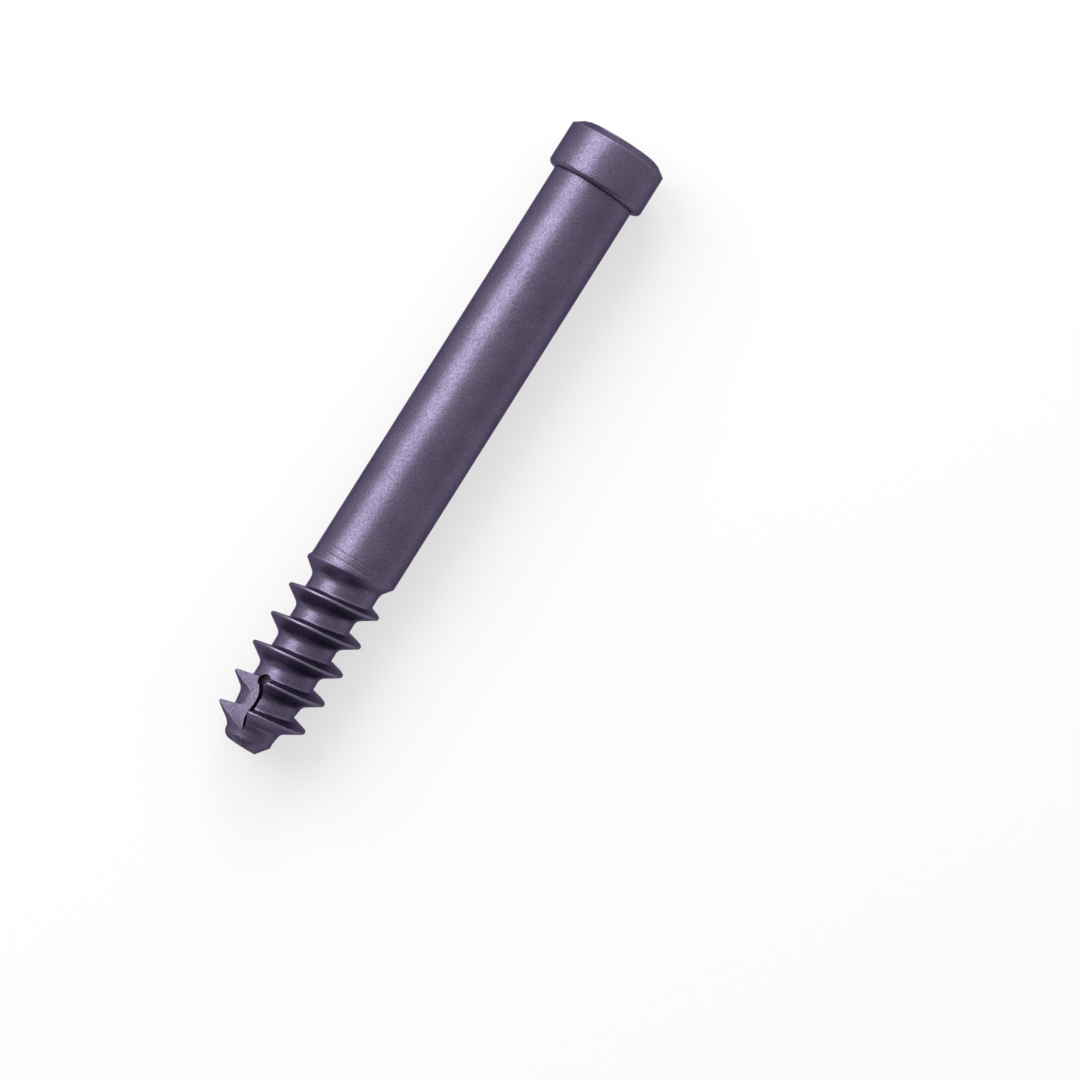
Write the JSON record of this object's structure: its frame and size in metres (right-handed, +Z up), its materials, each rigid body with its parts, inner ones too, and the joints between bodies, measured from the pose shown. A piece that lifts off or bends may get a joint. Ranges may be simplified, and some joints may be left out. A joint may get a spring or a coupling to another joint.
{
  "type": "orthopedic bone screw",
  "caption": "Cancellous bone screw with a smooth shank, short coarse thread, cutting flutes and a round head with a hexagon socket.",
  "frame": {"origin": "under the middle of the screw, on the floor it lies on", "axes": "+X along the screw towards its head, +Z up; the screw lies on its side as it comes to rest, so its own axis rises a little under one degree towards the head"},
  "size_m": [0.06, 0.009, 0.009],
  "materials": {
    "bone_screw": "blasted and purple-grey anodised titanium alloy, fine satin grain"
  },
  "bodies": {
    "root": {"bone_screw": "bone_screw"}
  },
  "joints": []
}
